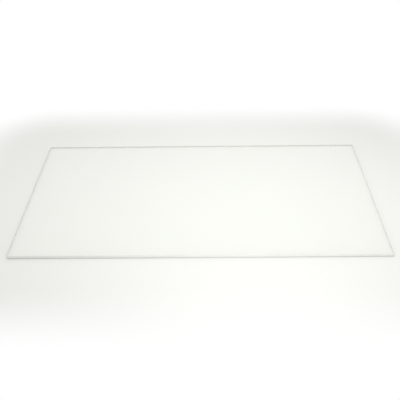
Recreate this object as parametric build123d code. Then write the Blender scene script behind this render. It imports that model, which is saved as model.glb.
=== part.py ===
from build123d import *

import os

# A bare pane of toughened glass that lies on the side ribs of a refrigerator as one of its shelves.
# Frame: the middle of the underside is the origin, +X runs along the long front edge,
# +Y runs from the front edge to the back edge and +Z points up.

# Driving dimensions, in millimetres
PANE_WIDTH = 475.0  # left to right, over the ground edges
PANE_DEPTH = 285.0  # front to back, over the ground edges
PANE_THICKNESS = 4.0  # stock gauge of the glass
CORNER_RADIUS = 2.0  # eased corners, seen from above, at the outermost line of the edge
EDGE_CROWN = 0.6  # how far the ground edge bows out past the rims of the two flat faces


def flat_face_outline():
    """The outline of the flat top and bottom faces, inside the ground edge."""
    return RectangleRounded(
        PANE_WIDTH - 2 * EDGE_CROWN,
        PANE_DEPTH - 2 * EDGE_CROWN,
        CORNER_RADIUS - EDGE_CROWN,
    )


def polished_core():
    """The slab between the two polished faces."""
    return extrude(flat_face_outline(), amount=PANE_THICKNESS)


def edge_section(rim):
    """The section of the ground edge, drawn across the start of the rim: one arc and its chord."""
    half_thickness = PANE_THICKNESS / 2
    outward = (rim % 0).cross(Vector(0, 0, 1))
    across = Plane(origin=rim @ 0, x_dir=outward, z_dir=rim % 0)
    lower_rim = (0, -half_thickness)
    upper_rim = (0, half_thickness)
    arc = ThreePointArc(lower_rim, (EDGE_CROWN, 0), upper_rim)
    chord = Line(upper_rim, lower_rim)
    return across * make_face([arc, chord])


def ground_edge():
    """The arc that the wheel grinds, carried round all four sides and the eased corners."""
    mid_plane = Pos(0, 0, PANE_THICKNESS / 2)
    rim = (mid_plane * flat_face_outline()).face().outer_wire()
    return sweep(edge_section(rim), path=rim)


glass_pane = polished_core() + ground_edge()

os.makedirs("parts", exist_ok=True)
export_step(glass_pane, "parts/glass_pane.step")
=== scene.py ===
import math

import bpy
from mathutils import Matrix, Vector


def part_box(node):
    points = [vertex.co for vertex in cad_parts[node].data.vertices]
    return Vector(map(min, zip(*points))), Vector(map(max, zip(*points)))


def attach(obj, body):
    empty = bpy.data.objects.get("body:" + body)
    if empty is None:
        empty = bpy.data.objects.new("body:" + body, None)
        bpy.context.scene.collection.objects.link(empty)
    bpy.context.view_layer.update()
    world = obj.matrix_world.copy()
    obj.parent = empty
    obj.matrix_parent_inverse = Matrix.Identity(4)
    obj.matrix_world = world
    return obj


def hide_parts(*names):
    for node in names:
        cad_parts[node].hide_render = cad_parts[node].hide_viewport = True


# A glass shelf of a refrigerator: a bare pane of clear glass with a ground edge, on a pale table
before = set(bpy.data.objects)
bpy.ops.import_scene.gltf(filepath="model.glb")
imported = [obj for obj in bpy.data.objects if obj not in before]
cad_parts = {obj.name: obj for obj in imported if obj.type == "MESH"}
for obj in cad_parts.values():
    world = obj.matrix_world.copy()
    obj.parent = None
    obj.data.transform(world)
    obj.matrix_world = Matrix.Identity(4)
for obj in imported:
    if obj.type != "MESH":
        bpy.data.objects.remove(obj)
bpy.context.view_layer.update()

# The pane, in metres: the frame gives its outer size, and these values give its ground edge
pane_low, pane_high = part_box("glass_pane")
PANE_WIDTH, PANE_DEPTH, PANE_THICKNESS = pane_high - pane_low
CORNER_RADIUS = 0.002  # seen from above, at the outermost line of the edge
EDGE_CROWN = 0.0006  # how far the edge bows out past the rims of the flat faces
CORNER_STEPS = 10
EDGE_STEPS = 16
ARRIS_ANGLE = math.radians(20)  # faces that meet at more than this keep a hard line between them
FLAT_NORMAL = 0.99  # a face whose normal is more upright than this is polished
WELD_DISTANCE = 0.00001

# The polished faces. Each roughness is given as its least and its most
GLASS_IOR = 1.52
FACE_TINT = (0.982, 0.989, 0.971, 1.0)
FACE_ROUGHNESS = (0.0, 0.02)
FACE_CLEARNESS = 1.0

# The edge, as the grinding wheel left it, and the shade painted low on it
EDGE_TINT_DARK = (0.815, 0.83, 0.785, 1.0)
EDGE_TINT_LIGHT = (0.91, 0.92, 0.875, 1.0)
EDGE_TINT_INSIDE = (0.66, 0.665, 0.62, 1.0)  # seen from within the glass
# Painted shade: the edge's colour is darkened on its lower part, standing in for the shade where it faces
# down towards the table
EDGE_PAINTED_SHADE = (0.74, 0.74, 0.74, 1.0)  # what is left of the tint low on the edge
PAINTED_SHADE_STARTS = 0.42  # two heights, as shares of the thickness
PAINTED_SHADE_FULL = 0.30
EDGE_ROUGHNESS = (0.45, 0.65)
EDGE_CLEARNESS = 0.12

# Marks drawn out one way. A higher stretch along X, Y or Z brings them closer together that way
MARK_DETAIL = 3.0
MARK_SPAN = (0.3, 0.7)  # the span of the noise that runs from no mark to a full one
WIPING_STRETCH = (4.0, 14.0, 4.0)
WHEEL_STRETCH = (25.0, 25.0, 6000.0)
WHEEL_MARK_DEPTH = 0.00005
WHEEL_MARK_STRENGTH = 0.25
GRAIN_SCALE = 3500.0
GRAIN_DETAIL = 2.0
GRAIN_SHARE = 0.4  # of the edge's finish, with the marks of the wheel as the rest

# What each crossing of a polished face or of the ground edge leaves of the light on the table
FACE_SHADE = (0.995, 0.995, 0.995, 1.0)
EDGE_SHADE = (0.65, 0.66, 0.65, 1.0)

# The table, in metres, which turns white away from the pane
TABLE_HALF_SIZE = 12.0
TABLE_GAP = 0.00002  # below the pane, so that the two never share one plane
TABLE_COLOUR = (0.926, 0.929, 0.89, 1.0)
TABLE_ROUGHNESS = 0.9
TABLE_GLOSS = 0.1
WHITE_STARTS = 0.05  # two distances from the pane
WHITE_ENDS = 0.16

# The light from all round, the white that is shown there, and the lamps
STUDIO_LIGHT = (0.60, 0.60, 0.60, 1.0)
STUDIO_BACKDROP = (1.0, 1.0, 1.0, 1.0)
LAMPS = {
    "over_lamp": {
        "place": (0.08, -0.05, 0.50), "aim": (0.08, -0.05, 0.0), "size": 0.3, "watts": 1.22,
    },
    "front_lamp": {
        "place": (0.075, -0.45, 0.04), "aim": (0.075, -0.14, 0.0), "size": 0.08, "watts": 0.375,
    },
    "back_lamp": {
        "place": (-0.75, 0.45, 0.50), "aim": (-0.2, 0.1, 0.0), "size": 0.3, "watts": 0.76,
    },
}

# The camera, in metres and degrees
CAMERA_PLACE = (0.0135, -0.8092, 0.5068)
CAMERA_TILT_DOWN = 32.377
CAMERA_TURN_LEFT = 0.998
CAMERA_ROLL = -0.979
CAMERA_NEAREST = 0.01
CAMERA_LENS_MM = 61.39
CAMERA_SENSOR_MM = 36.0


def put(tree, kind, inputs=None, **settings):
    """Adds a node to a tree. An input is given a plain value, or an output socket to link it to."""
    node = tree.nodes.new(kind)
    for name, value in settings.items():
        setattr(node, name, value)
    for key, value in (inputs or {}).items():
        if isinstance(value, bpy.types.NodeSocket):
            tree.links.new(value, node.inputs[key])
        else:
            node.inputs[key].default_value = value
    return node


def name_sockets(tree, in_out, kinds):
    """Gives a tree its inputs or its outputs, from the names for each kind of socket."""
    for kind, names in kinds.items():
        for name in names:
            tree.interface.new_socket(name, in_out=in_out, socket_type=kind)


def maths(tree, operation, *values):
    """The result of one step of arithmetic."""
    return put(tree, "ShaderNodeMath", dict(enumerate(values)), operation=operation).outputs[0]


def vectors(tree, operation, *values):
    """The vector that one step of vector arithmetic gives."""
    return put(tree, "ShaderNodeVectorMath", dict(enumerate(values)), operation=operation).outputs[0]


def point(tree, x, y, z):
    """A point from its three coordinates."""
    return put(tree, "ShaderNodeCombineXYZ", {"X": x, "Y": y, "Z": z}).outputs["Vector"]


def raised(tree, geometry, height):
    """The geometry, moved straight up."""
    moved = put(tree, "GeometryNodeTransform", {
        "Geometry": geometry, "Translation": point(tree, 0.0, 0.0, height),
    })
    return moved.outputs["Geometry"]


def rim_of_faces(tree, given):
    """The rim of the flat faces: the outline of the pane without the crown of its edge."""
    crown = given["Edge Crown"]
    outline = put(tree, "GeometryNodeCurvePrimitiveQuadrilateral", {
        "Width": maths(tree, "MULTIPLY_ADD", crown, -2.0, given["Width"]),
        "Height": maths(tree, "MULTIPLY_ADD", crown, -2.0, given["Depth"]),
    })
    eased = put(tree, "GeometryNodeFilletCurve", {
        "Curve": outline.outputs["Curve"], "Count": given["Corner Steps"],
        "Radius": maths(tree, "SUBTRACT", given["Corner Radius"], crown),
    }, mode="POLY")
    rim = put(tree, "GeometryNodeSetCurveNormal", {"Curve": eased.outputs["Curve"]}, mode="Z_UP")
    return rim.outputs["Curve"]


def edge_band(tree, given, rim):
    """The arc that the wheel grinds, carried round the rim, with its lower side at the underside."""
    half = maths(tree, "MULTIPLY", given["Thickness"], 0.5)
    minus_half = maths(tree, "MULTIPLY", given["Thickness"], -0.5)
    arc = put(tree, "GeometryNodeCurveArc", {
        "Resolution": maths(tree, "ADD", given["Edge Steps"], 1.0),
        "Start": point(tree, 0.0, minus_half, 0.0),
        "Middle": point(tree, given["Edge Crown"], 0.0, 0.0),
        "End": point(tree, 0.0, half, 0.0),
    }, mode="POINTS")
    band = put(tree, "GeometryNodeCurveToMesh", {"Curve": rim, "Profile Curve": arc.outputs["Curve"]})
    return raised(tree, band.outputs["Mesh"], half)


def flat_faces(tree, given, rim):
    """The underside and the top face."""
    face = put(tree, "GeometryNodeFillCurve", {"Curve": rim}, mode="NGONS").outputs["Mesh"]
    underside = put(tree, "GeometryNodeFlipFaces", {"Mesh": face}).outputs["Mesh"]
    return underside, raised(tree, face, given["Thickness"])


def closed_skin(tree, given, surfaces):
    """The surfaces, welded into one closed skin that is smooth but for its arrises."""
    joined = put(tree, "GeometryNodeJoinGeometry")
    for surface in surfaces:
        tree.links.new(surface, joined.inputs["Geometry"])
    skin = put(tree, "GeometryNodeMergeByDistance", {
        "Geometry": joined.outputs["Geometry"], "Distance": given["Weld"],
    })
    skin = put(tree, "GeometryNodeSetShadeSmooth", {"Geometry": skin.outputs["Geometry"]})
    edge_angle = put(tree, "GeometryNodeInputMeshEdgeAngle").outputs["Unsigned Angle"]
    arris = put(tree, "FunctionNodeCompare", {"A": edge_angle, "B": given["Arris Angle"]})
    skin = put(tree, "GeometryNodeSetShadeSmooth", {
        "Geometry": skin.outputs["Geometry"], "Selection": arris.outputs["Result"],
        "Shade Smooth": False,
    }, domain="EDGE")
    skin = put(tree, "GeometryNodeRealizeInstances", {"Geometry": skin.outputs["Geometry"]})
    return skin.outputs["Geometry"]


def finished(tree, given, skin):
    """The skin with its materials: the flat faces are polished, all else is ground."""
    normal = put(tree, "GeometryNodeInputNormal").outputs["Normal"]
    upright = put(tree, "ShaderNodeSeparateXYZ", {"Vector": normal}).outputs["Z"]
    flat = put(tree, "FunctionNodeCompare", {
        "A": maths(tree, "ABSOLUTE", upright), "B": given["Flat Normal"],
    })
    skin = put(tree, "GeometryNodeSetMaterial", {"Geometry": skin, "Material": given["Ground Edge"]})
    skin = put(tree, "GeometryNodeSetMaterial", {
        "Geometry": skin.outputs["Geometry"], "Selection": flat.outputs["Result"],
        "Material": given["Polished Glass"],
    })
    return skin.outputs["Geometry"]


def ground_pane_tree():
    """Geometry nodes that carry the ground edge round the rim and close it with two flat faces."""
    tree = bpy.data.node_groups.new("ground_pane", "GeometryNodeTree")
    name_sockets(tree, "INPUT", {
        "NodeSocketFloat": (
            "Width", "Depth", "Thickness", "Corner Radius", "Edge Crown",
            "Arris Angle", "Flat Normal", "Weld",
        ),
        "NodeSocketInt": ("Corner Steps", "Edge Steps"),
        "NodeSocketMaterial": ("Polished Glass", "Ground Edge"),
    })
    name_sockets(tree, "OUTPUT", {"NodeSocketGeometry": ("Pane",)})
    given = put(tree, "NodeGroupInput").outputs
    rim = rim_of_faces(tree, given)
    surfaces = (edge_band(tree, given, rim), *flat_faces(tree, given, rim))
    skin = closed_skin(tree, given, surfaces)
    put(tree, "NodeGroupOutput", {"Pane": finished(tree, given, skin)})
    return tree


def made_by_nodes(name, tree, values):
    """A plain mesh object made by a geometry node tree with these values for its named inputs."""
    maker = bpy.data.objects.new(name + "_maker", bpy.data.meshes.new(name + "_maker"))
    bpy.context.scene.collection.objects.link(maker)
    modifier = maker.modifiers.new("maker", "NODES")
    modifier.node_group = tree
    for socket in tree.interface.items_tree:
        if socket.in_out == "INPUT":
            modifier[socket.identifier] = values[socket.name]
    evaluated = maker.evaluated_get(bpy.context.evaluated_depsgraph_get())
    mesh = bpy.data.meshes.new_from_object(evaluated)
    mesh.name = name
    bpy.data.objects.remove(maker)
    piece = bpy.data.objects.new(name, mesh)
    bpy.context.scene.collection.objects.link(piece)
    return piece


def drawn_marks():
    """A shader group for marks drawn out one way, as a wheel leaves on an edge or a cloth on a face."""
    group = bpy.data.node_groups.new("drawn_marks", "ShaderNodeTree")
    name_sockets(group, "INPUT", {
        "NodeSocketVector": ("Place", "Stretch"), "NodeSocketFloat": ("Least", "Most"),
    })
    name_sockets(group, "OUTPUT", {"NodeSocketFloat": ("Marks",)})
    given = put(group, "NodeGroupInput").outputs
    drawn = put(group, "ShaderNodeMapping", {"Vector": given["Place"], "Scale": given["Stretch"]})
    # The stretch alone sets the scale of the noise
    noise = put(group, "ShaderNodeTexNoise", {
        "Vector": drawn.outputs["Vector"], "Scale": 1.0, "Detail": MARK_DETAIL,
    })
    marks = put(group, "ShaderNodeMapRange", {
        "Value": noise.outputs["Fac"], "From Min": MARK_SPAN[0], "From Max": MARK_SPAN[1],
        "To Min": given["Least"], "To Max": given["Most"],
    })
    put(group, "NodeGroupOutput", {"Marks": marks.outputs["Result"]})
    return group


def empty_material(name):
    """A new material with no nodes yet, and its node tree."""
    material = bpy.data.materials.new(name)
    material.use_nodes = True
    material.node_tree.nodes.clear()
    return material, material.node_tree


def pass_table_light(tree, glass, shade):
    """Finishes a glass material so that light on its way to the table goes straight through it."""
    through = put(tree, "ShaderNodeBsdfTransparent", {"Color": shade}).outputs["BSDF"]
    path = put(tree, "ShaderNodeLightPath").outputs
    surface = put(tree, "ShaderNodeMixShader", {0: path["Is Diffuse Ray"], 1: glass, 2: through})
    surface = put(tree, "ShaderNodeMixShader", {
        0: path["Is Shadow Ray"], 1: surface.outputs["Shader"], 2: through,
    })
    put(tree, "ShaderNodeOutputMaterial", {"Surface": surface.outputs["Shader"]})


def polished_glass(marks):
    """The clear flat faces, with the faint marks of wiping."""
    material, tree = empty_material("polished_glass")
    place = put(tree, "ShaderNodeTexCoord").outputs["Object"]
    wiping = put(tree, "ShaderNodeGroup", {
        "Place": place, "Stretch": WIPING_STRETCH,
        "Least": FACE_ROUGHNESS[0], "Most": FACE_ROUGHNESS[1],
    }, node_tree=marks)
    glass = put(tree, "ShaderNodeBsdfPrincipled", {
        "Base Color": FACE_TINT, "Roughness": wiping.outputs["Marks"],
        "IOR": GLASS_IOR, "Transmission Weight": FACE_CLEARNESS,
    })
    pass_table_light(tree, glass.outputs["BSDF"], FACE_SHADE)
    return material


def edge_finish(tree, place, marks):
    """From nought to one over the edge: fine marks of the wheel along it, with a grain over them."""
    wheel = put(tree, "ShaderNodeGroup", {
        "Place": place, "Stretch": WHEEL_STRETCH, "Least": 0.0, "Most": 1.0,
    }, node_tree=marks)
    grain = put(tree, "ShaderNodeTexNoise", {
        "Vector": place, "Scale": GRAIN_SCALE, "Detail": GRAIN_DETAIL,
    })
    finish = put(tree, "ShaderNodeMix", {
        "Factor": GRAIN_SHARE, "A": wheel.outputs["Marks"], "B": grain.outputs["Fac"],
    })
    return finish.outputs["Result"]


def edge_tint(tree, place, finish):
    """The edge's colour: it follows the finish, has shade painted low on the edge and is even from
    within.
    """
    tint = put(tree, "ShaderNodeMix", {
        "Factor": finish, "A": EDGE_TINT_DARK, "B": EDGE_TINT_LIGHT,
    }, data_type="RGBA")
    height = put(tree, "ShaderNodeSeparateXYZ", {"Vector": place}).outputs["Z"]
    # Painted shade: the colour is darkened low on the edge, where it faces down to the table
    lower = put(tree, "ShaderNodeMapRange", {
        "Value": height, "From Min": PANE_THICKNESS * PAINTED_SHADE_STARTS,
        "From Max": PANE_THICKNESS * PAINTED_SHADE_FULL,
    }, interpolation_type="SMOOTHSTEP")
    tint = put(tree, "ShaderNodeMix", {
        "Factor": lower.outputs["Result"], "A": tint.outputs["Result"], "B": EDGE_PAINTED_SHADE,
    }, data_type="RGBA", blend_type="MULTIPLY")
    inside = put(tree, "ShaderNodeNewGeometry").outputs["Backfacing"]
    tint = put(tree, "ShaderNodeMix", {
        "Factor": inside, "A": tint.outputs["Result"], "B": EDGE_TINT_INSIDE,
    }, data_type="RGBA")
    return tint.outputs["Result"]


def ground_edge(marks):
    """The matt and milky edge, whose finish shows in its colour, its roughness and its relief, and whose
    colour is darkened low down by painted shade.
    """
    material, tree = empty_material("ground_edge")
    place = put(tree, "ShaderNodeTexCoord").outputs["Object"]
    finish = edge_finish(tree, place, marks)
    roughness = put(tree, "ShaderNodeMapRange", {
        "Value": finish, "To Min": EDGE_ROUGHNESS[0], "To Max": EDGE_ROUGHNESS[1],
    })
    relief = put(tree, "ShaderNodeBump", {
        "Height": finish, "Strength": WHEEL_MARK_STRENGTH, "Distance": WHEEL_MARK_DEPTH,
    })
    glass = put(tree, "ShaderNodeBsdfPrincipled", {
        "Base Color": edge_tint(tree, place, finish), "Roughness": roughness.outputs["Result"],
        "IOR": GLASS_IOR, "Transmission Weight": EDGE_CLEARNESS, "Normal": relief.outputs["Normal"],
    })
    pass_table_light(tree, glass.outputs["BSDF"], EDGE_SHADE)
    return material


def seen(tree):
    """One for a ray that shows the surroundings, directly or in the glass, and nought for other light."""
    path = put(tree, "ShaderNodeLightPath").outputs
    direct_or_mirrored = maths(tree, "MAXIMUM", path["Is Camera Ray"], path["Is Glossy Ray"])
    return maths(tree, "MAXIMUM", direct_or_mirrored, path["Is Transmission Ray"])


def table_paint():
    """The table's pale matt paint, which is shown as white away from the pane."""
    material, tree = empty_material("pale_table")
    paint = put(tree, "ShaderNodeBsdfPrincipled", {
        "Base Color": TABLE_COLOUR, "Roughness": TABLE_ROUGHNESS, "Specular IOR Level": TABLE_GLOSS,
    })
    white = put(tree, "ShaderNodeEmission", {"Color": STUDIO_BACKDROP, "Strength": 1.0})
    place = put(tree, "ShaderNodeTexCoord").outputs["Object"]
    past_pane = vectors(tree, "SUBTRACT", vectors(tree, "ABSOLUTE", place), tuple(pane_high))
    past_pane = vectors(tree, "MAXIMUM", past_pane, (0.0, 0.0, 0.0))
    distance = put(tree, "ShaderNodeVectorMath", {0: past_pane}, operation="LENGTH").outputs["Value"]
    fade = put(tree, "ShaderNodeMapRange", {
        "Value": distance, "From Min": WHITE_STARTS, "From Max": WHITE_ENDS,
    }, interpolation_type="SMOOTHSTEP")
    shown_white = maths(tree, "MULTIPLY", fade.outputs["Result"], seen(tree))
    surface = put(tree, "ShaderNodeMixShader", {
        0: shown_white, 1: paint.outputs["BSDF"], 2: white.outputs["Emission"],
    })
    put(tree, "ShaderNodeOutputMaterial", {"Surface": surface.outputs["Shader"]})
    return material


def pale_table():
    """The wide flat surface that the pane lies on."""
    mesh = bpy.data.meshes.new("table")
    corners = [
        (across * TABLE_HALF_SIZE, back * TABLE_HALF_SIZE, -TABLE_GAP)
        for across, back in ((-1, -1), (1, -1), (1, 1), (-1, 1))
    ]
    mesh.from_pydata(corners, [], [(0, 1, 2, 3)])
    mesh.materials.append(table_paint())
    table = bpy.data.objects.new("table", mesh)
    bpy.context.scene.collection.objects.link(table)


def surroundings():
    """An even light from all round, which is shown as white."""
    world = bpy.data.worlds.new("studio")
    world.use_nodes = True
    tree = world.node_tree
    tree.nodes.clear()
    tone = put(tree, "ShaderNodeMix", {
        "Factor": seen(tree), "A": STUDIO_LIGHT, "B": STUDIO_BACKDROP,
    }, data_type="RGBA")
    background = put(tree, "ShaderNodeBackground", {"Color": tone.outputs["Result"], "Strength": 1.0})
    put(tree, "ShaderNodeOutputWorld", {"Surface": background.outputs["Background"]})
    bpy.context.scene.world = world


def soft_lamps():
    """Square lamps over the pane, in front of it and behind it, which don't show in the glass."""
    for name, lamp in LAMPS.items():
        light = bpy.data.lights.new(name, "AREA")
        light.size = lamp["size"]
        light.energy = lamp["watts"]
        holder = bpy.data.objects.new(name, light)
        holder.location = lamp["place"]
        holder.visible_glossy = False
        holder.visible_transmission = False
        beam = Vector(lamp["aim"]) - Vector(lamp["place"])
        holder.rotation_euler = beam.to_track_quat("-Z", "Y").to_euler()
        bpy.context.scene.collection.objects.link(holder)


def camera():
    """A camera in front of the long edge, looking down on the pane."""
    data = bpy.data.cameras.new("camera")
    data.lens = CAMERA_LENS_MM
    data.sensor_width = CAMERA_SENSOR_MM
    data.clip_start = CAMERA_NEAREST
    holder = bpy.data.objects.new("camera", data)
    turn = Matrix.Rotation(math.radians(CAMERA_TURN_LEFT), 4, "Z")
    tilt = Matrix.Rotation(math.radians(90 - CAMERA_TILT_DOWN), 4, "X")
    roll = Matrix.Rotation(math.radians(CAMERA_ROLL), 4, "Z")
    holder.matrix_world = Matrix.Translation(CAMERA_PLACE) @ turn @ tilt @ roll
    bpy.context.scene.collection.objects.link(holder)
    bpy.context.scene.camera = holder


marks = drawn_marks()
pane = made_by_nodes("shelf_pane", ground_pane_tree(), {
    "Width": PANE_WIDTH, "Depth": PANE_DEPTH, "Thickness": PANE_THICKNESS,
    "Corner Radius": CORNER_RADIUS, "Edge Crown": EDGE_CROWN,
    "Arris Angle": ARRIS_ANGLE, "Flat Normal": FLAT_NORMAL, "Weld": WELD_DISTANCE,
    "Corner Steps": CORNER_STEPS, "Edge Steps": EDGE_STEPS,
    "Polished Glass": polished_glass(marks), "Ground Edge": ground_edge(marks),
})
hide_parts("glass_pane")
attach(pane, "root")

pale_table()
surroundings()
soft_lamps()
camera()
bpy.context.scene.view_settings.view_transform = "Standard"
